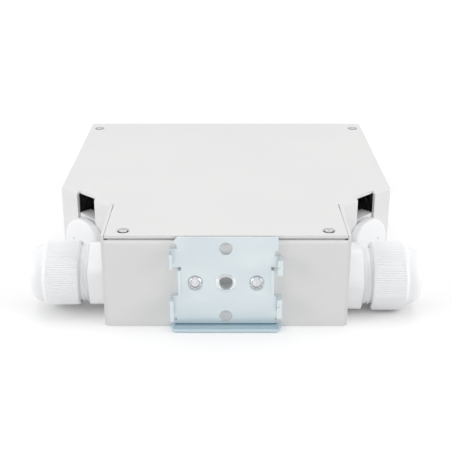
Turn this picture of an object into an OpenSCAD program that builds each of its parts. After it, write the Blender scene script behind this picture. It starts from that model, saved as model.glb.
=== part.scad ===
// Sheet-steel fibre splice box with a rail clip on its narrow back, lying on its large face.
// X runs across the box, Y from the clip towards the ports, Z up through the thickness.

/* [Box] */
// Outside width of the wide part
body_w = 123; // [120:1:140]
// Depth from the back wall to the port wall, outside
body_d = 132; // [129:1:160]
// Outside thickness
body_t = 33; // [32.5:0.5:40]
// Outside width of the narrow back
neck_w = 82; // [80:1:88]
// Distance from the back wall to the start of the slanted walls
neck_d = 29; // [28:0.5:31]
// Distance from the back wall to the end of the slanted walls
wide_y = 48; // [47:0.5:51]
// Steel sheet thickness
sheet = 1; // [0.8:0.1:1.2]
// Outside radius of the folds
bend_r = 1.4; // [1.2:0.1:1.6]
// Radius of the lid's front corners in plan
lid_corner_r = 2; // [1:0.5:3]
// Gap between the lid and the tray
seam = 0.5; // [0.3:0.05:0.6]
// Gap between the lid and the neck's side walls where it is widest, at the inner corners
lid_gap = 0.35; // [0.3:0.05:0.5]
// Gap between the lid and those walls near the back wall
lid_play = 0.12; // [0.1:0.02:0.3]
// Distance of the lid's edge from the clip behind it
lid_back_gap = 0.7; // [0.5:0.1:0.9]
// Length over which the lid's gap widens towards the inner corner
lid_taper = 9; // [6:0.5:12]
// Depth of the fold that carries the rear lid screws
rear_fold = 9; // [8.5:0.5:10]
// Depth of the fold that carries the front lid screws
front_fold = 12; // [11.5:0.5:13]
// Height of the rails inside the lid's side walls
side_rail_h = 12; // [8:1:20]
// Height of the tabs that carry the port wall
panel_tab_h = 7; // [6.5:0.5:9]
// Width of those tabs
panel_tab_w = 6.4; // [6:0.2:7]
// Distance of a port wall screw from the lid's side
panel_screw_side = 4.7; // [4.6:0.1:5.5]
// Height of a port wall screw
panel_screw_z = 4; // [3.6:0.1:4.4]

/* [Lid screws] */
// Distance of a rear lid screw from the middle
rear_screw_x = 34; // [26:1:36]
// Distance of a rear lid screw from the back wall's face
rear_screw_y = 5; // [4.5:0.25:5.5]
// Distance of a front lid screw from the side
front_screw_side = 4.6; // [4.5:0.1:6]
// Distance of a front lid screw from the port wall's face
front_screw_in = 7.8; // [6:0.2:8]
// Thread diameter of a lid screw
lid_screw_d = 2.5; // [2:0.5:3]
// Head diameter of a lid screw
lid_screw_head = 4.2; // [4.1:0.1:5]
// Length of a lid screw
lid_screw_len = 6; // [5:0.5:7]

/* [Rail clip] */
// Width of the rail that the clip takes
rail_w = 35; // [34:0.5:36]
// Play between the rail and each hook
rail_play = 0.1; // [0.05:0.05:0.3]
// Sheet thickness of the clip
clip_t = 1; // [0.8:0.1:1.2]
// How far the hooks stand out of the clip's plate
hook_out = 3.6; // [3:0.1:4.5]
// How far a left hook reaches back over the rail
hook_lip_left = 0.3; // [0.2:0.05:0.6]
// How far a right hook reaches back over the rail
hook_lip_right = 0.75; // [0.6:0.05:1]
// Height of the upper hooks' roots
upper_hook = 6.6; // [6:0.1:7]
// Height of the lower hooks' roots
lower_hook = 8.1; // [7.5:0.1:8.2]
// How far down the upper right hook's finger reaches below its root
hook_finger = 1.6; // [1.2:0.1:3]
// Height of the notch between the hooks
clip_notch_h = 10.4; // [10:0.1:10.8]
// Depth of that notch from the hook's inside face
clip_notch_in = 2.7; // [2.5:0.1:3.2]
// How far the rail rests stand out of the clip's plate
rest_out = 1.2; // [1:0.1:1.6]
// Length of the clip's bottom edge that is bent out
toe_out = 3.6; // [3:0.1:4]
// Height of the clip's lowest edge above the surface
clip_low = 0.3; // [0.2:0.1:0.6]
// Height of the clip's middle hole
clip_mid_z = 16.7; // [16.5:0.1:17.5]
// Distance from the middle hole to the top and bottom holes
clip_hole_z = 12.4; // [11.5:0.1:12.6]
// Distance from the middle hole to each screw
clip_screw_x = 10.2; // [9:0.2:11]
// Diameter of the clip's plain holes
clip_hole_d = 4.4; // [4:0.1:4.6]
// Diameter of the dished rims in the clip
clip_dish_d = 5.9; // [5.4:0.1:6.2]
// Depth of the dished rims
clip_dish = 0.3; // [0.15:0.05:0.3]
// Depth of the pressed cup behind the clip's middle hole, from the wall's face
cup_depth = 3; // [2:0.5:4]
// Head diameter of a clip screw
clip_screw_head = 4.4; // [4.2:0.1:4.6]
// Thread diameter of a clip screw
clip_screw_d = 3; // [2.6:0.1:3]

/* [Cable glands] */
// Distance of a gland's axis from the back wall's face
gland_y = 14.5; // [14.2:0.1:15]
// Mean height of the two glands' axes
gland_z = 12.7; // [12.6:0.1:13.4]
// How far the left gland sits above that height, and the right one below it
gland_skew = 0.6; // [0:0.1:0.6]
// Thread diameter of a gland
gland_thread = 20; // [18:0.5:20]
// Width across flats of a gland's hexagon
gland_hex = 21.2; // [20.8:0.1:22]
// Length of a gland's hexagon
gland_hex_len = 5.5; // [5:0.1:6.5]
// Length of bare thread between the hexagon and the nut
gland_neck_len = 3.6; // [3:0.1:4]
// Pitch of a gland's thread
gland_pitch = 1.5; // [1:0.25:1.5]
// Outside diameter of the ribbed gland nut
gland_nut_d = 23.9; // [23:0.1:24]
// Length of the ribbed part of the nut
gland_rib_len = 11.8; // [10.5:0.1:12]
// Diameter of the dome on the nut
gland_dome_d = 19.8; // [19.4:0.1:20.4]
// Length of the dome
gland_dome_len = 5.1; // [5:0.1:6.5]
// Number of fine ribs round the nut
gland_ribs = 96; // [72:12:120]
// Diameter of the cable hole in the dome
gland_mouth = 12.6; // [12.2:0.1:12.8]
// Diameter of the cable hole in the rubber seal
seal_bore = 11.6; // [10:0.2:12]
// Length of the thread inside the box wall
gland_tail = 9; // [8:0.5:10]
// Thickness of a gland's lock nut
gland_locknut_t = 5; // [4:0.5:5.5]
// Play between a nut and the thread that it turns on
thread_play = 0.08; // [0.05:0.01:0.1]

/* [Blind plugs] */
// Height of a blind plug's axis
plug_z = 14.4; // [13.8:0.1:14.8]
// Head diameter of a blind plug
plug_head_d = 19.2; // [18.4:0.1:19.6]
// Height of a blind plug's head
plug_head_h = 3.2; // [3:0.1:4]
// Thread diameter of a blind plug
plug_thread = 15; // [14:0.2:15.2]
// Length of a blind plug's thread
plug_tail = 8; // [7.5:0.5:9]
// Width across flats of a plug's lock nut
plug_nut_flats = 19.6; // [18:0.1:20]
// Thickness of a plug's lock nut
plug_nut_t = 5; // [4:0.5:5.5]
// Width of the open slot above each plug
slot_w = 9.8; // [8:0.2:10]
// How far the lid's plate is cut back above each slot
slot_setback = 1.5; // [1:0.1:2]

/* [Ports] */
// Number of adapters in the port wall
ports = 6; // [2:1:6]
// Distance between adapters
port_pitch = 16; // [14:0.5:16.5]
// Width of an adapter
adapter_w = 9.2; // [9:0.1:9.6]
// Height of an adapter's body
adapter_h = 12.8; // [12.4:0.1:13.2]
// Length of an adapter inside the port wall's face
adapter_in = 16; // [15:0.5:17]
// Length of an adapter outside the port wall's face
adapter_out = 10; // [9.5:0.5:11]
// Height of an adapter's flange
flange_h = 22; // [21.6:0.2:22.4]
// Thickness of an adapter's flange
flange_t = 2; // [1.6:0.1:2.2]
// Wall of an adapter
adapter_wall = 0.9; // [0.8:0.1:1]
// Depth of each port of an adapter
port_depth = 9; // [8.5:0.1:9.2]
// Distance between an adapter's two screws
port_screw_pitch = 18; // [17.8:0.1:18.4]
// Thread diameter of an adapter screw
port_screw_d = 2; // [1.6:0.1:2.2]
// Outside diameter of the ceramic alignment sleeve
sleeve_d = 3.2; // [3:0.1:3.3]
// Bore of the ceramic alignment sleeve
sleeve_bore = 2.5; // [2.4:0.1:2.5]
// Length of the ceramic alignment sleeve
sleeve_len = 11; // [10:0.5:12]
// Length of a dust cap's grip outside the adapter
cap_grip = 4; // [3:0.5:6]
// Length of a dust cap inside the adapter
cap_in = 6.5; // [5.5:0.25:7]

/* [Splice tray] */
// Width of the splice tray
tray_w = 92; // [80:1:96]
// Room for bending fibre between the splice tray and the adapters
tray_port_gap = 9; // [7:0.5:12]
// Height of the splice tray's rim
tray_h = 8; // [7:0.5:9]
// Wall of the splice tray
tray_wall = 1.4; // [1.2:0.1:1.8]
// Corner radius of the splice tray
tray_r = 10; // [6:1:12]
// Distance from the back wall's face to the splice tray
tray_y = 55; // [53:0.5:56]
// Height of the studs' shoulders under the tray
tray_lift = 4; // [3:0.5:5]
// Thickness of the tray's clear cover
cover_t = 1.2; // [1:0.1:1.6]
// Number of splice protectors
splices = 6; // [2:1:8]
// Length of a splice protector
splice_len = 40; // [35:1:42]
// Diameter of a splice protector
splice_d = 2.8; // [2.4:0.1:3]
// Distance between splice protectors
splice_pitch = 4; // [3.6:0.1:4.4]

/* [Cable clamps] */
// Distance of a cable clamp from the middle
clamp_x = 20; // [17:0.5:21]
// Distance of a cable clamp from the back wall's face
clamp_y = 33; // [30:0.5:35]
// Height of a cable clamp's post
clamp_post_h = 7; // [5:0.5:9]
// Width and depth of a cable clamp's plate
clamp_w = 14; // [10:0.5:14]
clamp_d = 8; // [7:0.5:9]

/* [Hidden] */
$fn = 64;
eps = 0.05;

// Slanted wall: its length, its angle and the line that runs a distance inside it
diag_len = norm([(body_w - neck_w) / 2, wide_y - neck_d]);
diag_angle = atan2(wide_y - neck_d, (body_w - neck_w) / 2);
function diag_y(x, inset) = neck_d + inset / cos(diag_angle) + (x - neck_w / 2) * tan(diag_angle);
function mirrored(points) = concat(points, [for (i = [len(points) - 1:-1:0]) [-points[i][0], points[i][1]]]);

// The tray's top edge, its side walls inside the lid's, and the relief cuts at the lid's inner corners
tray_top = body_t - sheet - seam;
lid_foot = 0.4;
lid_inset = sheet + lid_gap;
tray_inset = sheet + seam;
corner_relief = 0.6;
relief_d = 1.1;
weld_r = 0.7;
neck_wall_end = neck_d - lid_gap;
port_z = tray_top / 2;
panel_screw_x = body_w / 2 - panel_screw_side;
tray_d = body_d - adapter_in - tray_port_gap - tray_y;

// Small screws and nuts inside, M2.5 and M3
adapter_nut = 4;
adapter_nut_t = 1.6;
m25_nut = 5;
m25_nut_t = 2;
m3 = 3;
m3_nut = 5.5;
m3_nut_t = 2.4;
pan_head_d = 1.8;

// Play of screws in their holes and of parts that sit in each other
hole_play = 0.1;
fit_play = 0.1;
head_drop = 0.15;

// Rail clip
clip_w = rail_w - 0.8;
hook_in_x = rail_w / 2 + rail_play;
hook_out_x = hook_in_x + clip_t;
notch_low = clip_mid_z - 4.6;
notch_high = notch_low + clip_notch_h;
notch_x = hook_in_x - clip_notch_in;
toe_half = hook_out_x - 0.2;
relief_gap = 1.2;
clip_nut = 5.5;
// The right upper hook's root ends lower than the left one's, and the hooks' fronts are trimmed
right_hook_drop = 2.7;
left_upper_trim = [0.5, 0.8];
left_lower_trim = [0, 0.4];
right_lower_trim = [1.2, 0];
dimple_r = 1.3;

// Glands, measured along their axis from the box wall's outside face
hex_end = gland_hex_len;
nut_start = hex_end + gland_neck_len;
rib_end = nut_start + gland_rib_len;
gland_end = rib_end + gland_dome_len;
gland_r = gland_thread / 2;
collet_r = gland_r - 1.4;
thread_root_r = gland_r - 0.55;
thread_end = nut_start + gland_rib_len * 0.5;
nut_floor_gap = 0.3;
gland_bore_r = gland_mouth / 2 + 0.3;
collet_end = rib_end - 0.6;
// Angle above the horizontal of a hexagon's front corner and of a nut's flat, left and right
hex_rise = [23, 9];
flat_rise = [115, -37];
// Half the angle that a flat takes of the nut's round, and how far it lies from the axis
flat_half = 24;
nut_flat_r = gland_nut_d / 2 * cos(flat_half);
// Radius of the nut's soft edge beside the dome, and depth of its ribs
nut_edge_r = 1.3;
rib_depth = 0.35;
// How much the hexagon's corners are turned down
hex_corner_cut = 0.55;

// The part's middle, front to back, lies at the origin
part_front = body_d + adapter_out + cap_grip;
part_back = clip_t + max(hook_out, toe_out);
y_shift = -(part_front - part_back) / 2;

// Outlines of lid and floor, drawn from the middle line outwards on one side and mirrored
module lid_plan() {
    polygon(mirrored([
        [neck_w / 2 - sheet - lid_play, lid_back_gap], [neck_w / 2 - sheet - lid_play, neck_d - lid_taper],
        [neck_w / 2 - lid_inset, neck_d], [neck_w / 2, neck_d],
        [body_w / 2, wide_y], [body_w / 2, body_d]
    ]));
}

module tray_floor_plan() {
    side = body_w / 2 - tray_inset;
    neck = neck_w / 2 - sheet;
    polygon(mirrored([
        [neck, sheet], [neck, diag_y(neck, tray_inset)],
        [side, diag_y(side, tray_inset)], [side, body_d - sheet]
    ]));
}

// Wedge that rounds the edge along +X of a body that fills the +Y, +Z quarter
module edge_round(length, r) {
    rotate([90, 0, 90]) linear_extrude(length)
        difference() {
            translate([-1, -1]) square(r + 1);
            translate([r, r]) circle(r);
        }
}

// The same wedge for the top edge of a body that fills the +Y, -Z quarter
module top_edge_round(length, r) {
    mirror([0, 0, 1]) edge_round(length, r);
}

module both_sides() {
    children();
    mirror([1, 0, 0]) children();
}

// Along the right slanted wall: X runs along it, -Y points out of the box
module on_slant() {
    translate([neck_w / 2, neck_d, 0]) rotate([0, 0, diag_angle]) children();
}

// Z points out of the slanted wall at the plug's middle
module at_plug(side) {
    scale([side, 1, 1])
        on_slant() translate([diag_len / 2, 0, plug_z]) rotate([90, 0, 0]) children();
}

function gland_height(side) = gland_z - side * gland_skew;

// Z points out of the neck's side wall at the gland's middle
module at_gland(side) {
    scale([side, 1, 1])
        translate([neck_w / 2, gland_y, gland_height(side)]) rotate([0, 90, 0]) children();
}

module at_lid_screws() {
    both_sides() {
        translate([rear_screw_x, rear_screw_y, body_t]) children();
        translate([body_w / 2 - front_screw_side, body_d - front_screw_in, body_t]) children();
    }
}

module at_clip_screws() {
    for (side = [-1, 1])
        translate([side * clip_screw_x, 0, clip_mid_z]) rotate([90, 0, 0]) children();
}

function port_x(i) = (i - (ports + 1) / 2) * port_pitch;

module at_port_screws() {
    for (i = [1:ports])
        for (dz = [-0.5, 0.5])
            translate([port_x(i), body_d, port_z + dz * port_screw_pitch]) rotate([-90, 0, 0]) children();
}

module tube(r_out, r_in, from, to) {
    translate([0, 0, from]) difference() {
        cylinder(r = r_out, h = to - from);
        translate([0, 0, -eps]) cylinder(r = r_in, h = to - from + 2 * eps);
    }
}

module hexagon(flats, height) {
    cylinder(d = flats / cos(30), h = height, $fn = 6);
}

// Countersunk screw, Z up out of its head, which lies a drop under the surface
module flat_screw(thread_d, head_d, length, drop = head_drop) {
    cone_h = (head_d - thread_d) / 2;
    difference() {
        translate([0, 0, -drop]) mirror([0, 0, 1]) union() {
            cylinder(d1 = head_d, d2 = thread_d, h = cone_h);
            cylinder(d = thread_d, h = length);
        }
        for (turn = [0, 90])
            rotate([0, 0, turn])
                translate([-head_d * 0.28, -head_d * 0.06, -drop - cone_h * 0.7])
                    cube([head_d * 0.56, head_d * 0.12, cone_h]);
    }
}

// Round-headed screw, its head's underside at z 0
module pan_screw(thread_d, length) {
    head_h = thread_d * 0.55;
    head_r = thread_d * pan_head_d / 2;
    intersection() {
        cylinder(r = head_r, h = head_h);
        translate([0, 0, head_h - 1.6 * head_r]) sphere(r = 1.6 * head_r);
    }
    translate([0, 0, -length]) cylinder(d = thread_d, h = length + eps);
}

module nut(flats, height, thread_d) {
    difference() {
        hexagon(flats, height);
        translate([0, 0, -eps]) cylinder(d = thread_d + 2 * hole_play, h = height + 1);
    }
}

module flat_screw_hole(thread_d, head_d, depth, drop = head_drop) {
    cone_h = (head_d - thread_d) / 2;
    translate([0, 0, -depth]) cylinder(d = thread_d + 2 * hole_play, h = depth + eps);
    translate([0, 0, -cone_h - drop])
        cylinder(d1 = thread_d + 2 * hole_play, d2 = head_d + 2 * hole_play, h = cone_h);
    translate([0, 0, -drop - eps]) cylinder(d = head_d + 2 * hole_play, h = drop + 2 * eps);
}

// Floor plate with two tabs folded up for the port wall
module base_tray() color("gainsboro") difference() {
    union() {
        linear_extrude(sheet) tray_floor_plan();
        both_sides()
            translate([panel_screw_x - panel_tab_w / 2, body_d - 2 * sheet, 0])
                cube([panel_tab_w, sheet, panel_tab_h]);
    }
    at_panel_screws() translate([0, 0, -3 * sheet])
        cylinder(d = lid_screw_d + 2 * hole_play, h = 6 * sheet);
}

// Back wall with its fold and the neck's side walls, which rise beside the lid
module neck_frame() color("gainsboro") difference() {
    union() {
        translate([-neck_w / 2 + sheet - eps, 0, 0])
            cube([neck_w - 2 * sheet + 2 * eps, sheet, tray_top]);
        translate([-neck_w / 2 + 2 * sheet, 0, tray_top - sheet])
            cube([neck_w - 4 * sheet, rear_fold, sheet]);
        both_sides()
            translate([neck_w / 2 - sheet, 0, 0]) cube([sheet, neck_wall_end, body_t]);
        translate([0, 0, clip_mid_z]) rotate([-90, 0, 0])
            cylinder(d = clip_hole_d + 2 * sheet, h = cup_depth + sheet);
    }
    neck_edges();
    for (side = [-1, 1])
        at_gland(side) translate([0, 0, -3 * sheet]) cylinder(r = gland_r + hole_play, h = 6 * sheet);
    at_clip_screws() translate([0, 0, -3 * sheet])
        cylinder(d = clip_screw_d + 2 * hole_play, h = 6 * sheet);
    translate([0, -1, clip_mid_z]) rotate([-90, 0, 0]) cylinder(d = clip_hole_d, h = cup_depth + 1);
    at_lid_screws() translate([0, 0, -body_t / 4]) cylinder(d = lid_screw_d + 2 * hole_play, h = body_t);
}

// Upright strips on the floor's edges that guide the lid's side walls
module side_rails() color("gainsboro") {
    start = wide_y + 3 * sheet;
    both_sides()
        translate([body_w / 2 - tray_inset - sheet, start, sheet])
            cube([sheet, body_d - front_fold - start, side_rail_h - sheet]);
}

module at_panel_screws() {
    for (side = [-1, 1])
        translate([side * panel_screw_x, body_d, panel_screw_z]) rotate([-90, 0, 0]) children();
}

// Port wall with a fold at the top for the front lid screws
module front_panel() color("gainsboro") {
    front_w = body_w - 2 * tray_inset;
    difference() {
        union() {
            translate([-front_w / 2, body_d - sheet, 0]) cube([front_w, sheet, tray_top]);
            translate([-front_w / 2, body_d - front_fold, tray_top - sheet])
                cube([front_w, front_fold, sheet]);
        }
        translate([-body_w / 2, body_d, tray_top]) mirror([0, 1, 0]) top_edge_round(body_w, bend_r);
        at_lid_screws() translate([0, 0, -body_t / 4])
            cylinder(d = lid_screw_d + 2 * hole_play, h = body_t);
        for (i = [1:ports])
            translate([port_x(i), body_d, port_z])
                cube([adapter_w + 2 * fit_play, 4 * sheet, adapter_h + 2 * fit_play], center = true);
        at_port_screws() translate([0, 0, -3 * sheet])
            cylinder(d = port_screw_d + 2 * hole_play, h = 6 * sheet);
        at_panel_screws() translate([0, 0, -3 * sheet])
            cylinder(d = lid_screw_d + 2 * hole_play, h = 6 * sheet);
    }
}

module panel_screws() color("silver") {
    at_panel_screws() pan_screw(lid_screw_d, 2 * sheet + m25_nut_t + 0.6);
}

module panel_nuts() color("silver") {
    at_panel_screws() translate([0, 0, -2 * sheet - m25_nut_t]) nut(m25_nut, m25_nut_t, lid_screw_d);
}

// Rounded outsides of the frame's fold and its welded corners
module neck_edges() {
    translate([-neck_w / 2 + sheet, 0, tray_top]) top_edge_round(neck_w - 2 * sheet, bend_r);
    both_sides()
        translate([neck_w / 2, 0, -1]) rotate([0, -90, 180]) mirror([0, 1, 0]) edge_round(body_t + 2, weld_r);
}

module lid() color("gainsboro") difference() {
    union() {
        translate([0, 0, body_t - sheet]) linear_extrude(sheet) difference() {
            lid_plan();
            both_sides() translate([body_w / 2, body_d]) rotate(180) difference() {
                translate([-1, -1]) square(lid_corner_r + 1);
                translate([lid_corner_r, lid_corner_r]) circle(lid_corner_r);
            }
        }
        both_sides() lid_skirt();
    }
    both_sides() {
        on_slant() translate([-corner_relief / 2, 0, body_t]) top_edge_round(diag_len + 2, bend_r);
        translate([body_w / 2, wide_y - 1, body_t]) rotate([0, 0, 90]) top_edge_round(body_d, bend_r);
        translate([(neck_w - lid_inset) / 2, neck_d, body_t - 3]) cylinder(d = relief_d, h = 6);
    }
    for (side = [-1, 1])
        at_plug(side) translate([0, 0, -3]) {
            cylinder(d = plug_thread + 2 * hole_play, h = 6);
            translate([-slot_w / 2, 0, 0]) cube([slot_w, body_t - plug_z - sheet, 6]);
        }
    both_sides() slot_mouth();
    at_lid_screws() flat_screw_hole(lid_screw_d, lid_screw_head, 3 * sheet);
}

// Slanted and side walls folded down from the lid, on one side
module lid_skirt() {
    start = [neck_w / 2 + corner_relief * cos(diag_angle), neck_d + corner_relief * sin(diag_angle)];
    inward = sheet * [-sin(diag_angle), cos(diag_angle)];
    inner_x = body_w / 2 - sheet;
    translate([0, 0, lid_foot]) linear_extrude(body_t - lid_foot) polygon([
        start, [body_w / 2, wide_y], [body_w / 2, body_d - lid_corner_r],
        [inner_x, body_d - lid_corner_r], [inner_x, diag_y(inner_x, sheet)], start + inward
    ]);
}

// The slot's upper end, which opens through the fold and leaves the lid a plain cut edge
module slot_mouth() {
    on_slant() translate([diag_len / 2 - slot_w / 2, -1, plug_z]) cube([slot_w, 1 + slot_setback, body_t]);
}

module lid_screws() color("silver") {
    at_lid_screws() flat_screw(lid_screw_d, lid_screw_head, lid_screw_len);
}

// Plate, hooks, rail rests and toe of the rail clip, bent from one sheet
module din_clip() color("lightsteelblue") difference() {
    union() {
        difference() {
            clip_plate();
            clip_cutouts();
        }
        left_hooks();
        right_hooks();
        both_sides() rail_rest();
        clip_toe();
    }
    at_clip_screws() {
        translate([0, 0, clip_t]) flat_screw_hole(clip_screw_d, clip_screw_head, 2 * clip_t, clip_dish);
        dish();
    }
    translate([0, 0, clip_mid_z]) rotate([90, 0, 0]) {
        translate([0, 0, -1]) cylinder(d = clip_hole_d, h = clip_t + 2);
        dish();
    }
    for (dz = [-clip_hole_z, clip_hole_z])
        translate([0, 0, clip_mid_z + dz]) rotate([90, 0, 0])
            translate([0, 0, -1]) cylinder(d = clip_hole_d, h = clip_t + 2);
    translate([-hook_out_x - 1, 0, clip_low]) mirror([0, 1, 0]) edge_round(2 * hook_out_x + 2, clip_t * 0.9);
}

module clip_plate() {
    translate([-clip_w / 2, -clip_t, clip_low]) cube([clip_w, clip_t, body_t - clip_low]);
    translate([-hook_in_x - eps, -clip_t, notch_low - lower_hook])
        cube([2 * hook_in_x + 2 * eps, clip_t, lower_hook]);
    translate([-hook_in_x - eps, -clip_t, notch_high]) cube([hook_in_x, clip_t, upper_hook]);
    translate([0, -clip_t, notch_high]) cube([hook_in_x + eps, clip_t, upper_hook - right_hook_drop]);
}

// Side notches, relief cuts beside the hooks and the clipped corner
module clip_cutouts() {
    through = 3 * clip_t;
    both_sides() {
        translate([notch_x, -2 * clip_t, notch_low]) cube([hook_out_x, through, clip_notch_h]);
        translate([clip_w / 2 - 0.6, -2 * clip_t, notch_low - lower_hook - relief_gap])
            cube([2, through, relief_gap]);
    }
    translate([-clip_w / 2 - 1, -2 * clip_t, notch_high + upper_hook]) cube([2, through, 1.7]);
    translate([clip_w / 2 - 1, -2 * clip_t, notch_high + upper_hook - right_hook_drop])
        cube([2, through, 1.7]);
    translate([-clip_w / 2 - 1.2, -2 * clip_t, body_t]) rotate([0, 45, 0]) cube([1.7, through, 1.7]);
}

// One hook: its section pulled up along Z, then its front trimmed below and above
module hook(low, height, trim, lip) {
    difference() {
        translate([0, 0, low]) linear_extrude(height) hook_section(lip);
        for (cut = [[low - 1, 1 + trim[0]], [low + height - trim[1], 1 + trim[1]]])
            translate([hook_in_x - lip - 1, -clip_t - hook_out - 1, cut[0]])
                cube([clip_t + lip + 2, hook_out, cut[1]]);
    }
}

module hook_section(lip) {
    difference() {
        union() {
            translate([hook_in_x - 1, -clip_t]) square([clip_t + 1, clip_t]);
            translate([hook_in_x, -clip_t - hook_out]) square([clip_t, clip_t + hook_out]);
            translate([hook_in_x - lip, -clip_t - hook_out]) square([clip_t + lip, clip_t]);
        }
        translate([hook_out_x, 0]) rotate(180) corner(bend_r);
        translate([hook_out_x, -clip_t - hook_out]) rotate(90) corner(0.8);
    }
}

// Square corner outside a quarter circle
module corner(r) {
    difference() {
        translate([-1, -1]) square(r + 1);
        translate([r, r]) circle(r);
    }
}

module left_hooks() {
    mirror([1, 0, 0]) {
        hook(notch_high, upper_hook, left_upper_trim, hook_lip_left);
        hook(notch_low - lower_hook, lower_hook, left_lower_trim, hook_lip_left);
    }
}

// The right upper hook hangs down past its root as a finger, and both have a pressed dimple
module right_hooks() {
    root = upper_hook - right_hook_drop;
    difference() {
        union() {
            hook(notch_high, root, [0, 0], hook_lip_right);
            hook(notch_low - lower_hook, lower_hook, right_lower_trim, hook_lip_right);
            difference() {
                hook(notch_high - hook_finger, hook_finger + eps, [0, 0], hook_lip_right);
                translate([0, -clip_t - 0.2, notch_high - hook_finger - 1])
                    cube([hook_out_x + 1, clip_t + 1, hook_finger + 1]);
            }
        }
        for (z = [notch_high + root - dimple_r - 0.3, notch_low - dimple_r - 0.3])
            translate([hook_in_x - hook_lip_right, -clip_t - hook_out, z]) rotate([90, 0, 0])
                translate([0, 0, -0.3]) cylinder(r = dimple_r, h = 1);
    }
}

module rail_rest() {
    translate([notch_x - eps, -clip_t - rest_out, notch_low + 0.5])
        cube([clip_t, clip_t + rest_out, clip_notch_h - relief_gap]);
}

module clip_toe() {
    translate([0, 0, clip_low]) linear_extrude(clip_t) polygon([
        [-toe_half, 0], [toe_half, 0], [toe_half, -clip_t],
        [toe_half - 1, -clip_t - toe_out], [-toe_half + 1, -clip_t - toe_out], [-toe_half, -clip_t]
    ]);
}

// Shallow dished rim round a hole, Z out of the plate
module dish() {
    translate([0, 0, clip_t - clip_dish])
        cylinder(d1 = clip_screw_head + 2 * hole_play, d2 = clip_dish_d, h = clip_dish + eps);
}

module clip_screws() color("white") {
    at_clip_screws() translate([0, 0, clip_t])
        flat_screw(clip_screw_d, clip_screw_head, clip_t + sheet + m25_nut_t + 1.6, clip_dish);
}

module clip_nuts() color("silver") {
    at_clip_screws() translate([0, 0, -sheet - m25_nut_t]) nut(clip_nut, m25_nut_t, clip_screw_d);
}

// Threaded body with its hexagon and the slotted collet under the nut
module gland_body(side) color("whitesmoke") at_gland(side) difference() {
    union() {
        translate([0, 0, -sheet - gland_tail]) cylinder(r = gland_r, h = sheet + gland_tail + eps);
        rotate([0, 0, 30 - hex_rise[side > 0 ? 1 : 0]]) intersection() {
            hexagon(gland_hex, gland_hex_len);
            hex_bevel();
        }
        translate([0, 0, hex_end - eps]) cylinder(r = thread_root_r, h = thread_end - hex_end + eps);
        for (z = [hex_end + gland_pitch * 0.6:gland_pitch:thread_end - gland_pitch])
            translate([0, 0, z]) thread_crest();
        translate([0, 0, hex_end]) cylinder(r = collet_r, h = collet_end - hex_end);
    }
    translate([0, 0, -sheet - gland_tail - 1]) cylinder(r = gland_bore_r, h = gland_end + gland_tail + 2);
    translate([0, 0, collet_end - 7]) cylinder(r = collet_r - 1, h = 8);
    for (turn = [0:30:150])
        rotate([0, 0, turn]) translate([-gland_r, -0.5, collet_end - 3.4]) cube([2 * gland_r, 1, 4]);
}

module thread_crest() {
    rotate_extrude() polygon([
        [gland_r - 2, 0], [thread_root_r, 0], [gland_r, gland_pitch * 0.3],
        [gland_r, gland_pitch * 0.5], [thread_root_r, gland_pitch * 0.8], [gland_r - 2, gland_pitch * 0.8]
    ]);
}

module hex_bevel() {
    edge = gland_hex / cos(30) / 2 - hex_corner_cut;
    rotate_extrude() polygon([
        [0, 0], [edge - 0.4, 0], [edge, 0.3],
        [edge, gland_hex_len - 0.5], [edge - 0.7, gland_hex_len], [0, gland_hex_len]
    ]);
}

module gland_seal(side) color("dimgray") at_gland(side) {
    tube(collet_r - 1 - fit_play, seal_bore / 2, collet_end - 7 + fit_play, collet_end - 0.5);
}

// Fine ribs round the nut, a soft edge beside the dome and two opposite spanner flats
function rib_point(i) =
    let (turn = i * 180 / gland_ribs) (gland_nut_d / 2 - (i % 2) * rib_depth) * [cos(turn), sin(turn)];

module gland_nut(side) color("white") at_gland(side) difference() {
    union() {
        translate([0, 0, nut_start + 0.4]) linear_extrude(gland_rib_len - nut_edge_r - 0.3)
            polygon([for (i = [0:2 * gland_ribs - 1]) rib_point(i)]);
        translate([0, 0, nut_start]) cylinder(r = nut_flat_r, h = gland_rib_len - 1);
        nut_shoulder();
        gland_dome();
    }
    rotate([0, 0, -90 - flat_rise[side > 0 ? 1 : 0]]) for (way = [0, 180])
        rotate([0, 0, way]) translate([nut_flat_r, -gland_nut_d / 2, nut_start - 1])
            cube([gland_nut_d, gland_nut_d, gland_rib_len + 2]);
    translate([0, 0, nut_start - eps]) cylinder(r = gland_r + thread_play, h = gland_rib_len * 0.5 + 0.8);
    translate([0, 0, nut_start - eps]) cylinder(r = collet_r + 0.35, h = collet_end - nut_start + 0.4);
    translate([0, 0, nut_start]) cylinder(d = gland_mouth, h = gland_end);
}

// Round end of the nut past its ribs
module nut_shoulder() {
    shoulder_r = gland_nut_d / 2 - rib_depth / 2;
    translate([0, 0, rib_end - nut_edge_r]) rotate_extrude() union() {
        translate([0, -0.2]) square([shoulder_r, 0.2]);
        square([shoulder_r - nut_edge_r, nut_edge_r]);
        translate([shoulder_r - nut_edge_r, 0]) intersection() {
            circle(nut_edge_r);
            square(nut_edge_r);
        }
    }
}

module gland_dome() {
    dome_r = gland_dome_d / 2;
    round_r = gland_dome_len - 0.6;
    translate([0, 0, rib_end - 1]) rotate_extrude() union() {
        square([dome_r - round_r, gland_dome_len + 1]);
        square([dome_r, 1.6]);
        translate([dome_r - round_r, 1.6]) intersection() {
            circle(round_r);
            square(round_r);
        }
    }
}

module gland_locknut(side) color("whitesmoke") at_gland(side) {
    translate([0, 0, -sheet - gland_locknut_t]) difference() {
        rotate([0, 0, 30]) hexagon(2 * (gland_z - gland_skew - sheet - nut_floor_gap), gland_locknut_t);
        translate([0, 0, -eps]) cylinder(r = gland_r + fit_play, h = gland_locknut_t + 1);
    }
}

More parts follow.
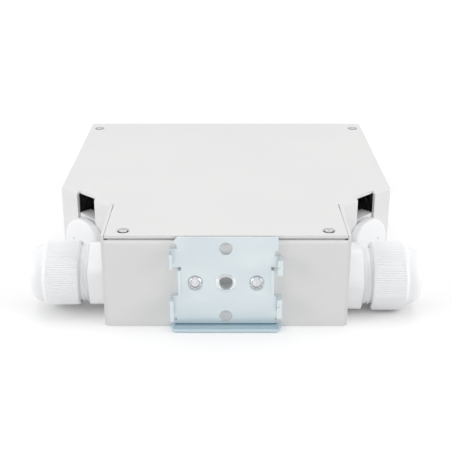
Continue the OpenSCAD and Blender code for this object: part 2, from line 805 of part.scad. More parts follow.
// Round head with a soft edge and a hollow threaded tail
module blind_plug(side) color("white") at_plug(side) difference() {
    union() {
        rotate_extrude() plug_profile();
        translate([0, 0, -sheet - plug_tail]) cylinder(d = plug_thread, h = sheet + plug_tail + eps);
    }
    translate([0, 0, -sheet - plug_tail - 1]) cylinder(d = plug_thread - 3, h = plug_tail + 1);
}

module plug_profile() {
    edge_r = plug_head_h * 0.6;
    square([plug_head_d / 2, plug_head_h - edge_r]);
    square([plug_head_d / 2 - edge_r, plug_head_h]);
    translate([plug_head_d / 2 - edge_r, plug_head_h - edge_r]) intersection() {
        circle(edge_r);
        square(edge_r);
    }
}

module plug_locknut(side) color("white") at_plug(side) {
    translate([0, 0, -sheet - plug_nut_t]) difference() {
        rotate([0, 0, 4]) hexagon(plug_nut_flats, plug_nut_t);
        translate([0, 0, -eps]) cylinder(d = plug_thread + 2 * fit_play, h = plug_nut_t + 1);
    }
}

// One adapter: a rectangular body open at both ends, with a flange and a holder for its sleeve
module adapter(i) color("royalblue") translate([port_x(i), body_d, port_z]) difference() {
    union() {
        translate([-adapter_w / 2, -adapter_in, -adapter_h / 2]) cube([adapter_w, adapter_in + adapter_out, adapter_h]);
        translate([-adapter_w / 2, 0, -flange_h / 2]) cube([adapter_w, flange_t, flange_h]);
    }
    adapter_port(-adapter_in, 1);
    adapter_port(adapter_out, -1);
    rotate([90, 0, 0]) cylinder(d = sleeve_d + 2 * fit_play, h = 4 * adapter_in, center = true);
    for (dz = [-0.5, 0.5])
        translate([0, -eps, dz * port_screw_pitch]) rotate([-90, 0, 0])
            cylinder(d = port_screw_d + 2 * hole_play, h = 2 * flange_t);
}

// Space that a plug takes in one end of an adapter, with the sleeve's holder left standing
module adapter_port(end_y, inward) {
    port_w = adapter_w - 2 * adapter_wall;
    port_h = adapter_h - 2 * adapter_wall;
    translate([0, end_y, 0]) scale([1, inward, 1]) difference() {
        translate([-port_w / 2, -1, -port_h / 2]) cube([port_w, port_depth + 1, port_h]);
        translate([0, port_depth - 2, 0]) rotate([-90, 0, 0]) cylinder(d = sleeve_d + 1.6, h = 3);
    }
}

module adapter_screws() color("silver") {
    at_port_screws() translate([0, 0, flange_t])
        pan_screw(port_screw_d, flange_t + sheet + adapter_nut_t + 0.4);
}

module adapter_nuts() color("silver") {
    at_port_screws() translate([0, 0, -sheet - adapter_nut_t]) nut(adapter_nut, adapter_nut_t, port_screw_d);
}

module alignment_sleeves() color("white") {
    for (i = [1:ports])
        translate([port_x(i), body_d + (adapter_out - adapter_in) / 2, port_z]) rotate([90, 0, 0])
            translate([0, 0, -sleeve_len / 2]) tube(sleeve_d / 2, sleeve_bore / 2, 0, sleeve_len);
}

// Rectangular plug with a grip, hollow round the sleeve's holder
module dust_cap(i) color("gainsboro") translate([port_x(i), body_d + adapter_out, port_z]) {
    plug_w = adapter_w - 2 * adapter_wall - 2 * fit_play;
    plug_h = adapter_h - 2 * adapter_wall - 2 * fit_play;
    difference() {
        union() {
            translate([-plug_w / 2, -cap_in, -plug_h / 2]) cube([plug_w, cap_in + 1, plug_h]);
            translate([-adapter_w / 2, fit_play, -adapter_h / 2]) cube([adapter_w, 1.4, adapter_h]);
            translate([-plug_w / 2 + 0.8, 0, -plug_h / 2 + 0.8]) cube([plug_w - 1.6, cap_grip, plug_h - 1.6]);
        }
        translate([0, -cap_in - eps, 0]) rotate([-90, 0, 0]) cylinder(d = plug_w - 1.6, h = cap_in);
    }
}

module tray_plan(inset) {
    r = tray_r - inset;
    hull() for (x = [-1, 1]) for (y = [0, 1])
        translate([x * (tray_w / 2 - tray_r), tray_y + tray_r + y * (tray_d - 2 * tray_r)]) circle(r, $fn = 32);
}

tray_floor_z = sheet + tray_lift;
tray_top_z = tray_floor_z + tray_h;
stud_x = tray_w / 2 - 7;
stud_y = tray_y + tray_d / 2;

module at_studs() {
    both_sides() translate([stud_x, stud_y, sheet]) children();
}

module splice_tray() color("gainsboro") difference() {
    union() {
        translate([0, 0, tray_floor_z]) linear_extrude(tray_wall) tray_plan(0);
        translate([0, 0, tray_floor_z]) linear_extrude(tray_h) difference() {
            tray_plan(0);
            tray_plan(tray_wall);
        }
    }
    at_studs() cylinder(d = m3 + 2 * hole_play, h = body_t / 2);
}

module tray_cover() color("lightcyan") {
    translate([0, 0, tray_top_z]) linear_extrude(cover_t) tray_plan(0);
}

comb_h = splice_d + 1;
comb_y = tray_y + tray_d / 2;

// Two combs with a row of round seats each, glued to the tray's floor
module splice_combs() color("dimgray") {
    comb_d = splices * splice_pitch + 2;
    for (side = [-1, 1])
        translate([side * splice_len * 0.3, comb_y, tray_floor_z + tray_wall]) difference() {
            translate([-3, -comb_d / 2, 0]) cube([6, comb_d, comb_h]);
            for (i = [1:splices])
                translate([0, (i - (splices + 1) / 2) * splice_pitch, comb_h - splice_d * 0.4]) rotate([0, 90, 0])
                    cylinder(d = splice_d + 2 * fit_play, h = 8, center = true);
        }
}

module splice_sleeves() color("white") {
    for (i = [1:splices])
        translate([-splice_len / 2, comb_y + (i - (splices + 1) / 2) * splice_pitch,
                   tray_floor_z + tray_wall + comb_h - splice_d * 0.4])
            rotate([0, 90, 0]) cylinder(d = splice_d, h = splice_len);
}

module tray_studs() color("silver") {
    at_studs() {
        cylinder(d = 2 * m3, h = tray_lift);
        cylinder(d = m3, h = tray_lift + tray_wall + m3_nut_t + 2);
    }
}

module tray_nuts() color("silver") {
    at_studs() translate([0, 0, tray_lift + tray_wall]) nut(m3_nut, m3_nut_t, m3);
}

module at_clamps() {
    both_sides() translate([clamp_x, clamp_y, sheet]) children();
}

module clamp_posts() color("silver") {
    at_clamps() difference() {
        hexagon(2 * m3, clamp_post_h);
        translate([0, 0, sheet]) cylinder(d = m3 + 2 * hole_play, h = clamp_post_h);
    }
}

module clamp_plates() color("silver") {
    at_clamps() translate([0, 0, clamp_post_h]) difference() {
        translate([-clamp_w / 2, -clamp_d / 2, 0]) cube([clamp_w, clamp_d, sheet]);
        translate([0, 0, -eps]) cylinder(d = m3 + 2 * hole_play, h = 2 * sheet);
    }
}

module clamp_screws() color("silver") {
    at_clamps() translate([0, 0, clamp_post_h + sheet]) pan_screw(m3, clamp_post_h - sheet - 1);
}

translate([0, y_shift, 0]) {
    base_tray();
    neck_frame();
    side_rails();
    front_panel();
    panel_screws();
    panel_nuts();
    lid();
    lid_screws();
    din_clip();
    clip_screws();
    clip_nuts();
    gland_body(-1);  // gland_body_left
    gland_body(1);  // gland_body_right
    gland_seal(-1);  // gland_seal_left
    gland_seal(1);  // gland_seal_right
    gland_nut(-1);  // gland_nut_left
    gland_nut(1);  // gland_nut_right
    gland_locknut(-1);  // gland_locknut_left
    gland_locknut(1);  // gland_locknut_right
    blind_plug(-1);  // blind_plug_left
    blind_plug(1);  // blind_plug_right
    plug_locknut(-1);  // plug_locknut_left
    plug_locknut(1);  // plug_locknut_right
    adapter_screws();
    adapter_nuts();
    alignment_sleeves();
    splice_tray();
    tray_cover();
    splice_combs();
    splice_sleeves();
    tray_studs();
    tray_nuts();
    clamp_posts();
    clamp_plates();
    clamp_screws();
    for (i = [1:ports]) {
        adapter(i);
        dust_cap(i);
    }
}
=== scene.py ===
import math

import bmesh
import bpy
from mathutils import Matrix, Vector


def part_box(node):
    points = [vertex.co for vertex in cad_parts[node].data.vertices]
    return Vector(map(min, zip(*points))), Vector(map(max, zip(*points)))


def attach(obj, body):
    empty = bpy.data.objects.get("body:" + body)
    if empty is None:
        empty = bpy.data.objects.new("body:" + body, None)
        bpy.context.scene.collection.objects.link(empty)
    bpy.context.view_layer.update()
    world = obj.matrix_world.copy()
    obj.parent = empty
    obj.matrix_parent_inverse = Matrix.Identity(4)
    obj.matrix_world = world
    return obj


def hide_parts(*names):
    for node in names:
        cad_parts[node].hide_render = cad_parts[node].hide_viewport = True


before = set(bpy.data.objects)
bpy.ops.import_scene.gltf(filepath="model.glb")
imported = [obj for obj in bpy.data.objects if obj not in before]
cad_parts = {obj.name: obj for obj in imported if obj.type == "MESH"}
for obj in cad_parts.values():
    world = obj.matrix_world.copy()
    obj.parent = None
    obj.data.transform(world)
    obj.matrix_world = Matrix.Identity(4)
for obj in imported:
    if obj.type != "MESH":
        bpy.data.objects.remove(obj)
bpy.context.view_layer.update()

# Camera and studio
# The box lies on white paper that turns pure white with distance. The camera looks at its
# clip side from a little above, as in the photograph. Soft lamps hang overhead and stand
# high in front, behind and on each side, so the slanted walls are as bright as the top.

clip_side_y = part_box("neck_frame")[0][1]

eye_back, eye_up, eye_tilt = 0.2735, 0.1499, 22.48
eye = bpy.data.cameras.new("studio_camera")
eye.sensor_width = 36.0
eye.lens = 72.86
studio_camera = bpy.data.objects.new("studio_camera", eye)
bpy.context.collection.objects.link(studio_camera)
studio_camera.location = (0.0, clip_side_y - eye_back, eye_up)
studio_camera.rotation_euler = (math.radians(90 - eye_tilt), 0.0, 0.0)
bpy.context.scene.camera = studio_camera

table_bm = bmesh.new()
bmesh.ops.create_grid(table_bm, x_segments=1, y_segments=1, size=4.0)
table_mesh = bpy.data.meshes.new("table_top")
table_bm.to_mesh(table_mesh)
table_bm.free()
table = bpy.data.objects.new("table_top", table_mesh)
bpy.context.collection.objects.link(table)
white_paper = bpy.data.materials.new("white_paper")
white_paper.use_nodes = True
paper_nodes, paper_links = white_paper.node_tree.nodes, white_paper.node_tree.links
paper = paper_nodes["Principled BSDF"]
ray = paper_nodes.new("ShaderNodeLightPath")
seen = paper_nodes.new("ShaderNodeMath")
seen.operation = "MAXIMUM"
paper_links.new(ray.outputs["Is Camera Ray"], seen.inputs[0])
paper_links.new(ray.outputs["Is Glossy Ray"], seen.inputs[1])
shade = paper_nodes.new("ShaderNodeMix")
shade.data_type = "RGBA"
shade.inputs["A"].default_value = (0.82, 0.82, 0.82, 1)
shade.inputs["B"].default_value = (1.0, 1.0, 1.0, 1)
paper_links.new(seen.outputs["Value"], shade.inputs["Factor"])
paper_links.new(shade.outputs["Result"], paper.inputs["Base Color"])
glow = paper_nodes.new("ShaderNodeMapRange")
place = paper_nodes.new("ShaderNodeTexCoord")
reach = paper_nodes.new("ShaderNodeVectorMath")
reach.operation = "LENGTH"
paper_links.new(place.outputs["Object"], reach.inputs[0])
paper_links.new(reach.outputs["Value"], glow.inputs["Value"])
glow.inputs["From Min"].default_value = 0.1
glow.inputs["From Max"].default_value = 0.45
glow.inputs["To Min"].default_value = 0.05
glow.inputs["To Max"].default_value = 0.6
paper_glow = paper_nodes.new("ShaderNodeMath")
paper_glow.operation = "MULTIPLY"
paper_links.new(glow.outputs["Result"], paper_glow.inputs[0])
paper_links.new(ray.outputs["Is Camera Ray"], paper_glow.inputs[1])
paper_links.new(paper_glow.outputs["Value"], paper.inputs["Emission Strength"])
paper.inputs["Emission Color"].default_value = (1, 1, 1, 1)
paper.inputs["Roughness"].default_value = 0.9
paper.inputs["Specular IOR Level"].default_value = 0.1
table_mesh.materials.append(white_paper)

world = bpy.data.worlds.new("studio_world")
bpy.context.scene.world = world
world.use_nodes = True
world.node_tree.nodes["Background"].inputs["Color"].default_value = (1, 1, 1, 1)
world.node_tree.nodes["Background"].inputs["Strength"].default_value = 0.5


def soft_lamp(name, place, aim, size, watts):
    data = bpy.data.lights.new(name, "AREA")
    data.shape = "RECTANGLE"
    data.size, data.size_y = size
    data.energy = watts
    lamp = bpy.data.objects.new(name, data)
    lamp.location = place
    lamp.rotation_euler = (Vector(aim) - Vector(place)).to_track_quat("-Z", "Y").to_euler()
    bpy.context.collection.objects.link(lamp)


soft_lamp("overhead_lamp", (0.0, 0.1, 0.9), (0, 0, 0), (0.9, 0.9), 2.6)
soft_lamp("front_lamp", (0.0, -0.62, 0.8), (0, 0, 0.02), (0.9, 0.4), 0.42)
soft_lamp("back_lamp", (0.0, 1.0, 0.55), (0, 0, 0.02), (1.2, 0.4), 1.2)
for side in (-1, 1):
    soft_lamp("side_lamp", (side * 0.85, -0.3, 0.3), (0, 0, 0.02), (0.5, 0.7), 3.2)

bpy.context.scene.view_settings.view_transform = "Standard"

# Base tray and port wall
# Both are cut and folded from one-millimetre steel sheet and powder-coated near white.
# The coat is satin, very finely pebbled and a little thinner over the folds. The port wall
# is screwed to a flange of the tray with two pan-head screws.

case_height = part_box("lid")[1][2]


def new_group(name, takes, gives):
    group = bpy.data.node_groups.new(name, "ShaderNodeTree")
    for label, kind, value in takes:
        socket = group.interface.new_socket(label, in_out="INPUT", socket_type=kind)
        socket.default_value = value
    for label, kind in gives:
        group.interface.new_socket(label, in_out="OUTPUT", socket_type=kind)
    return group, group.nodes.new("NodeGroupInput"), group.nodes.new("NodeGroupOutput")


def noise(group, scale, detail, vector):
    node = group.nodes.new("ShaderNodeTexNoise")
    node.inputs["Detail"].default_value = detail
    group.links.new(vector, node.inputs["Vector"])
    if isinstance(scale, float):
        node.inputs["Scale"].default_value = scale
    else:
        group.links.new(scale, node.inputs["Scale"])
    return node.outputs["Fac"]


def spread_out(group, value, low, high):
    node = group.nodes.new("ShaderNodeMapRange")
    group.links.new(value, node.inputs["Value"])
    node.inputs["From Min"].default_value = low
    node.inputs["From Max"].default_value = high
    return node.outputs["Result"]


def multiply(group, first, second):
    node = group.nodes.new("ShaderNodeMath")
    node.operation = "MULTIPLY"
    group.links.new(first, node.inputs[0])
    group.links.new(second, node.inputs[1])
    return node.outputs["Value"]


# Fine grain and broad cloudiness: tone, roughness and height of a sprayed or moulded skin
def grain_group():
    group, source, result = new_group(
        "surface_grain",
        [("Color", "NodeSocketColor", (0.8, 0.8, 0.8, 1)),
         ("Dark Color", "NodeSocketColor", (0.7, 0.7, 0.7, 1)),
         ("Cloudiness", "NodeSocketFloat", 0.3), ("Cloud Scale", "NodeSocketFloat", 25.0),
         ("Grain Scale", "NodeSocketFloat", 1500.0), ("Stretch", "NodeSocketVector", (1, 1, 1)),
         ("Roughness", "NodeSocketFloat", 0.45), ("Roughness Spread", "NodeSocketFloat", 0.1)],
        [("Color", "NodeSocketColor"), ("Roughness", "NodeSocketFloat"), ("Height", "NodeSocketFloat")])
    coords = group.nodes.new("ShaderNodeTexCoord")
    stretched = group.nodes.new("ShaderNodeVectorMath")
    stretched.operation = "MULTIPLY"
    group.links.new(coords.outputs["Object"], stretched.inputs[0])
    group.links.new(source.outputs["Stretch"], stretched.inputs[1])
    fine = noise(group, source.outputs["Grain Scale"], 2.0, stretched.outputs["Vector"])
    cloud = noise(group, source.outputs["Cloud Scale"], 4.0, stretched.outputs["Vector"])
    amount = multiply(group, spread_out(group, cloud, 0.35, 0.65), source.outputs["Cloudiness"])
    tone = group.nodes.new("ShaderNodeMix")
    tone.data_type = "RGBA"
    group.links.new(amount, tone.inputs["Factor"])
    group.links.new(source.outputs["Color"], tone.inputs["A"])
    group.links.new(source.outputs["Dark Color"], tone.inputs["B"])
    group.links.new(tone.outputs["Result"], result.inputs["Color"])
    extra = multiply(group, spread_out(group, cloud, 0.3, 0.7), source.outputs["Roughness Spread"])
    rough = group.nodes.new("ShaderNodeMath")
    group.links.new(source.outputs["Roughness"], rough.inputs[0])
    group.links.new(extra, rough.inputs[1])
    group.links.new(rough.outputs["Value"], result.inputs["Roughness"])
    group.links.new(fine, result.inputs["Height"])
    return group


surface_grain = grain_group()


def skin(name, color, dark_color, roughness, metallic=0.0, cloudiness=0.3, cloud_scale=25.0,
         grain_scale=1500.0, stretch=(1, 1, 1), roughness_spread=0.1, bump=0.1, edge=0.00015):
    mat = bpy.data.materials.new(name)
    mat.use_nodes = True
    nodes, links = mat.node_tree.nodes, mat.node_tree.links
    shader = nodes["Principled BSDF"]
    shader.inputs["Metallic"].default_value = metallic
    grain = nodes.new("ShaderNodeGroup")
    grain.node_tree = surface_grain
    for label, value in (("Color", (*color, 1)), ("Dark Color", (*dark_color, 1)),
                         ("Cloudiness", cloudiness), ("Cloud Scale", cloud_scale),
                         ("Grain Scale", grain_scale), ("Stretch", stretch),
                         ("Roughness", roughness), ("Roughness Spread", roughness_spread)):
        grain.inputs[label].default_value = value
    links.new(grain.outputs["Color"], shader.inputs["Base Color"])
    links.new(grain.outputs["Roughness"], shader.inputs["Roughness"])
    soft_edge = nodes.new("ShaderNodeBevel")
    soft_edge.samples = 6
    soft_edge.inputs["Radius"].default_value = edge
    relief = nodes.new("ShaderNodeBump")
    relief.inputs["Strength"].default_value = bump
    relief.inputs["Distance"].default_value = 0.0001
    links.new(grain.outputs["Height"], relief.inputs["Height"])
    links.new(soft_edge.outputs["Normal"], relief.inputs["Normal"])
    links.new(relief.outputs["Normal"], shader.inputs["Normal"])
    return mat


def give(mat, *names):
    for name in names:
        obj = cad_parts[name]
        obj.data.materials.clear()
        obj.data.materials.append(mat)


powder_coat = skin("powder_coat", (0.82, 0.82, 0.815), (0.78, 0.78, 0.78), 0.42,
                   cloudiness=0.35, grain_scale=1400.0, bump=0.14, edge=0.00018)
powder_coat.node_tree.nodes["Principled BSDF"].inputs["Specular IOR Level"].default_value = 0.4
give(powder_coat, "base_tray", "neck_frame", "side_rails", "front_panel")

screw_plate = skin("screw_plate", (0.80, 0.81, 0.83), (0.66, 0.67, 0.70), 0.22, metallic=1.0,
                   cloudiness=0.5, cloud_scale=700.0, grain_scale=5000.0, roughness_spread=0.2,
                   bump=0.06, edge=0.00008)


def add(bm, part, place):
    bmesh.ops.remove_doubles(part, verts=part.verts, dist=1e-7)
    bmesh.ops.recalc_face_normals(part, faces=part.faces)
    bmesh.ops.transform(part, matrix=place, verts=part.verts)
    scrap = bpy.data.meshes.new("scrap")
    part.to_mesh(scrap)
    part.free()
    bm.from_mesh(scrap)
    bpy.data.meshes.remove(scrap)


def turned(bm, profile, steps, place):
    part = bmesh.new()
    points = [part.verts.new((radius, 0, height)) for radius, height in profile]
    edges = [part.edges.new(pair) for pair in zip(points, points[1:])]
    bmesh.ops.spin(part, geom=points + edges, cent=(0, 0, 0), axis=(0, 0, 1), dvec=(0, 0, 0),
                   angle=2 * math.pi, steps=steps, use_merge=True)
    add(bm, part, place)


def soft_box(bm, size, centre, edge, place=Matrix()):
    part = bmesh.new()
    bmesh.ops.create_cube(part, size=1)
    bmesh.ops.scale(part, vec=size, verts=part.verts)
    bmesh.ops.bevel(part, geom=part.edges[:], offset=edge, offset_type="OFFSET", affect="EDGES",
                    segments=2, profile=0.5, material=-1)
    add(bm, part, place @ Matrix.Translation(centre))


def finished(bm, name, mat, body, replaced):
    mesh = bpy.data.meshes.new(name)
    bm.to_mesh(mesh)
    bm.free()
    mesh.shade_smooth()
    mesh.set_sharp_from_angle(angle=math.radians(35))
    mesh.materials.append(mat)
    piece = bpy.data.objects.new(name, mesh)
    bpy.context.collection.objects.link(piece)
    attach(piece, body)
    if replaced:
        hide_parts(replaced)
    return piece


def only(kind, made):
    return [element for element in made if isinstance(element, kind)]


def extrude_ring(part, edges, widen, rise):
    made = bmesh.ops.extrude_edge_only(part, edges=edges)["geom"]
    verts = only(bmesh.types.BMVert, made)
    bmesh.ops.scale(part, vec=(widen, widen, 1), verts=verts)
    bmesh.ops.translate(part, vec=(0, 0, rise), verts=verts)
    return only(bmesh.types.BMEdge, made)


# Screw with its head's rim at the place: the recess is sunk from its outline, and the head and
# shank grow down from the rim in steps of (radius, height below)
def screw(bm, outline, recess_depth, draft, rim_r, steps, place):
    part = bmesh.new()
    bmesh.ops.create_circle(part, cap_ends=False, segments=40, radius=rim_r)
    rim = part.edges[:]
    corners = [part.verts.new((x, y, 0)) for x, y in outline]
    recess = [part.edges.new((corners[k - 1], corners[k])) for k in range(len(corners))]
    bmesh.ops.triangle_fill(part, use_beauty=True, use_dissolve=False, edges=rim + recess,
                            normal=(0, 0, 1))
    bmesh.ops.edgeloop_fill(part, edges=extrude_ring(part, recess, draft, -recess_depth))
    radius, height = rim_r, 0
    for next_radius, next_height in steps:
        rim = extrude_ring(part, rim, next_radius / radius, height - next_height)
        radius, height = next_radius, next_height
    bmesh.ops.edgeloop_fill(part, edges=rim)
    add(bm, part, place)


def cross_outline(arm, half):
    corner = [(arm, -half), (arm, half), (half, half)]
    return [(x, y) for turn in range(4) for cx, cy in corner
            for x, y in [(Matrix.Rotation(turn * math.pi / 2, 2) @ Vector((cx, cy)))]]


panel_screw_x, panel_screw_z = 0.0568, 0.004
port_wall_y = clip_side_y + 0.132
bm = bmesh.new()
for side in (-1, 1):
    screw(bm, cross_outline(0.0012, 0.00026), 0.0008, 0.6, 0.0015,
          [(0.0020, 0.0004), (0.00225, 0.0010), (0.00225, 0.001375), (0.00125, 0.00138), (0.00125, 0.0059)],
          Matrix.Translation((side * panel_screw_x, port_wall_y + 0.001375, panel_screw_z))
          @ Matrix.Rotation(-math.pi / 2, 4, "X"))
finished(bm, "port_wall_screws", screw_plate, "case", "panel_screws")
give(screw_plate, "panel_nuts")

# Splice tray
# Moulded in pale grey plastic and held on two brass-plated steel studs. Dark combs glued to
# its floor hold the heat-shrunk splice protectors, and a clear sheet closes it.

tray_plastic = skin("tray_plastic", (0.66, 0.67, 0.66), (0.61, 0.62, 0.61), 0.5, grain_scale=2500.0,
                    bump=0.2)
comb_plastic = skin("comb_plastic", (0.035, 0.035, 0.038), (0.02, 0.02, 0.022), 0.5, bump=0.2)
shrunk_tube = skin("shrunk_tube", (0.80, 0.83, 0.85), (0.70, 0.74, 0.78), 0.12, cloudiness=0.6,
                   cloud_scale=300.0)
clear_sheet = skin("clear_sheet", (0.90, 0.95, 0.97), (0.86, 0.92, 0.95), 0.06, cloudiness=0.3,
                   roughness_spread=0.04, bump=0.02)
clear_sheet.node_tree.nodes["Principled BSDF"].inputs["Transmission Weight"].default_value = 0.85
give(tray_plastic, "splice_tray")
give(comb_plastic, "splice_combs")
give(shrunk_tube, "splice_sleeves")
give(clear_sheet, "tray_cover")
give(screw_plate, "tray_studs", "tray_nuts")

# Cable clamps
# Turned hexagon posts riveted into the floor, each with a pressed zinc-plated plate that a
# pan-head screw pulls down on the cable's strength member.


def zinc(name):
    return skin(name, (0.78, 0.85, 0.875), (0.72, 0.80, 0.84), 0.26, metallic=0.75,
                cloudiness=0.7, cloud_scale=110.0, grain_scale=900.0, stretch=(0.35, 1, 1),
                roughness_spread=0.16, bump=0.08, edge=0.00012)


zinc_plate = zinc("zinc_plate")
give(screw_plate, "clamp_posts", "clamp_screws")
give(zinc_plate, "clamp_plates")

# Adapters and dust caps
# The adapters are moulded in blue, pushed through the port wall and screwed to it through
# their flanges. A soft pale cap with a ribbed grip keeps each port clean.

ports = 6
port_z = 0.01575
adapter_blue = skin("adapter_blue", (0.025, 0.12, 0.42), (0.02, 0.095, 0.35), 0.36,
                    grain_scale=2200.0, bump=0.15)
cap_plastic = skin("cap_plastic", (0.74, 0.745, 0.72), (0.69, 0.70, 0.67), 0.45, bump=0.1)
cap_plastic.node_tree.nodes["Principled BSDF"].inputs["Subsurface Weight"].default_value = 0.15
cap_plastic.node_tree.nodes["Principled BSDF"].inputs["Subsurface Scale"].default_value = 0.001
sleeve_ceramic = skin("sleeve_ceramic", (0.88, 0.87, 0.82), (0.85, 0.84, 0.79), 0.18, bump=0.02)
give(sleeve_ceramic, "alignment_sleeves")
give(screw_plate, "adapter_nuts")
for number in range(1, ports + 1):
    give(adapter_blue, "adapter_%d" % number)
    low, high = (Vector(c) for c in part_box("dust_cap_%d" % number))
    port_x, face_y = (low.x + high.x) / 2, port_wall_y + 0.01
    bm = bmesh.new()
    soft_box(bm, (0.0070, 0.0074, 0.0106), (port_x, face_y - 0.0027, port_z), 0.0004)
    soft_box(bm, (0.0092, 0.0013, 0.0128), (port_x, face_y + 0.0008, port_z), 0.0003)
    soft_box(bm, (0.0046, 0.0034, 0.0086), (port_x, high.y - 0.0017, port_z), 0.0004)
    for along in (-0.0010, 0.0, 0.0010):
        soft_box(bm, (0.0056, 0.0005, 0.0090), (port_x, high.y - 0.0015 + along, port_z), 0.0002)
    finished(bm, "port_cap_%d" % number, cap_plastic, "dust_cap_%d" % number,
             "dust_cap_%d" % number)

bm = bmesh.new()
for number in range(1, ports + 1):
    low, high = (Vector(c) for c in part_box("adapter_%d" % number))
    for up in (-0.009, 0.009):
        screw(bm, cross_outline(0.0009, 0.0002), 0.0007, 0.6, 0.0013,
              [(0.0016, 0.0004), (0.0018, 0.0009), (0.0018, 0.0012), (0.001, 0.00121), (0.001, 0.0062)],
              Matrix.Translation(((low.x + high.x) / 2, port_wall_y + 0.0032, port_z + up))
              @ Matrix.Rotation(-math.pi / 2, 4, "X"))
finished(bm, "adapter_screw_set", screw_plate, "case", "adapter_screws")

# Cable glands
# Moulded in white nylon. The hexagon seats on the neck's wall and a lock nut holds it from
# inside; the ribbed nut with its dome squeezes a rubber seal onto the cable. The ribs leave
# two smooth flats, and bare thread shows between hexagon and nut.

gland_y, gland_z, gland_skew = clip_side_y + 0.0145, 0.0127, 0.0006
neck_half = 0.041
hexagon_len, hexagon_flats, hexagon_r = 0.0055, 0.0212, 0.0117
nut_start, rib_end, gland_end = 0.0091, 0.0209, 0.026
nut_r, flat_r, nut_edge_r, rib_depth, ribs = 0.01195, 0.01092, 0.0013, 0.0003, 96
dome_r, dome_round_r, dome_round_start, mouth_r = 0.0099, 0.0033, 0.001, 0.0063
thread_r, thread_pitch, thread_end = 0.01, 0.0015, 0.0152
nut_bore_r, nut_bore_depth, nut_throat_r = 0.0101, 0.0067, 0.00895
collet_r, collet_bore_r, collet_end, seat_height = 0.0086, 0.0076, 0.0203, 0.0133

white_nylon = skin("white_nylon", (0.955, 0.96, 0.97), (0.935, 0.94, 0.955), 0.33, cloudiness=0.3,
                   grain_scale=2600.0, bump=0.06, edge=0.00015)
ribbed_nylon = skin("ribbed_nylon", (0.97, 0.975, 0.985), (0.955, 0.96, 0.975), 0.33, cloudiness=0.3,
                    grain_scale=2600.0, bump=0.06, edge=0.00004)
seal_rubber = skin("seal_rubber", (0.03, 0.03, 0.03), (0.045, 0.045, 0.045), 0.6, bump=0.3)
give(seal_rubber, "gland_seal_left", "gland_seal_right")
give(white_nylon, "gland_locknut_left", "gland_locknut_right")


def out_of_neck(side):
    return (Matrix.Translation((side * neck_half, gland_y, gland_z - side * gland_skew))
            @ Matrix.Rotation(side * math.pi / 2, 4, "Y"))


# One rib is four points of the ring: two on its crown and two in the groove
def rib_radius(radius, grooved, turn, flat_turn):
    from_flat = abs((turn - flat_turn + math.pi / 2) % math.pi - math.pi / 2)
    in_groove = round(turn / (2 * math.pi) * ribs * 4) % 4 > 1
    round_r = radius - (grooved * rib_depth if in_groove else 0)
    return min(round_r, flat_r / max(math.cos(from_flat), 0.5))


def ribbed_nut(bm, side, flat_rise):
    flat_turn = -math.pi / 2 - side * flat_rise
    profile = [(nut_bore_r, nut_start, 0), (0.0112, nut_start, 0),
               (nut_r - 0.0002, nut_start + 0.0003, 0.2),
               (nut_r, nut_start + 0.0006, 1), (nut_r, rib_end - nut_edge_r - 0.0003, 1)]
    for k in range(7):
        turn = math.radians(k * 15)
        profile.append((nut_r - 0.0002 - nut_edge_r * (1 - math.cos(turn)),
                        rib_end - nut_edge_r * (1 - math.sin(turn)), 0))
    profile += [(dome_r + 0.0001, rib_end, 0), (dome_r, rib_end + 0.0001, 0),
                (dome_r, rib_end + dome_round_start, 0)]
    for k in range(1, 13):
        turn = math.radians(k * 7)
        profile.append((dome_r - dome_round_r * (1 - math.cos(turn)), rib_end + dome_round_start
                        + (gland_end - rib_end - dome_round_start) * math.sin(turn), 0))
    profile += [(mouth_r + 0.0002, gland_end, 0), (mouth_r, gland_end - 0.0002, 0),
                (mouth_r, rib_end - 0.0002, 0), (nut_throat_r, rib_end - 0.0002, 0),
                (nut_throat_r, nut_start + nut_bore_depth, 0), (nut_bore_r, nut_start + nut_bore_depth, 0),
                (nut_bore_r, nut_start, 0)]
    part = bmesh.new()
    bmesh.ops.create_circle(part, cap_ends=False, segments=4 * ribs, radius=thread_r)
    ring, verts = part.edges[:], part.verts[:]
    for step, (radius, height, grooved) in enumerate(profile):
        if step:
            made = bmesh.ops.extrude_edge_only(part, edges=ring)["geom"]
            ring, verts = only(bmesh.types.BMEdge, made), only(bmesh.types.BMVert, made)
        for vert in verts:
            turn = math.atan2(vert.co.y, vert.co.x)
            spoke = rib_radius(radius, grooved, turn, flat_turn)
            vert.co = (spoke * math.cos(turn), spoke * math.sin(turn), height)
    add(bm, part, out_of_neck(side))


def threaded(radius, depth, pitch, start, end):
    points, height = [(radius - depth, start)], start + pitch * 0.3
    while height + pitch * 0.7 < end:
        points += [(radius - depth, height), (radius, height + pitch * 0.3),
                   (radius, height + pitch * 0.45), (radius - depth, height + pitch * 0.75)]
        height += pitch
    return points + [(radius - depth, end)]


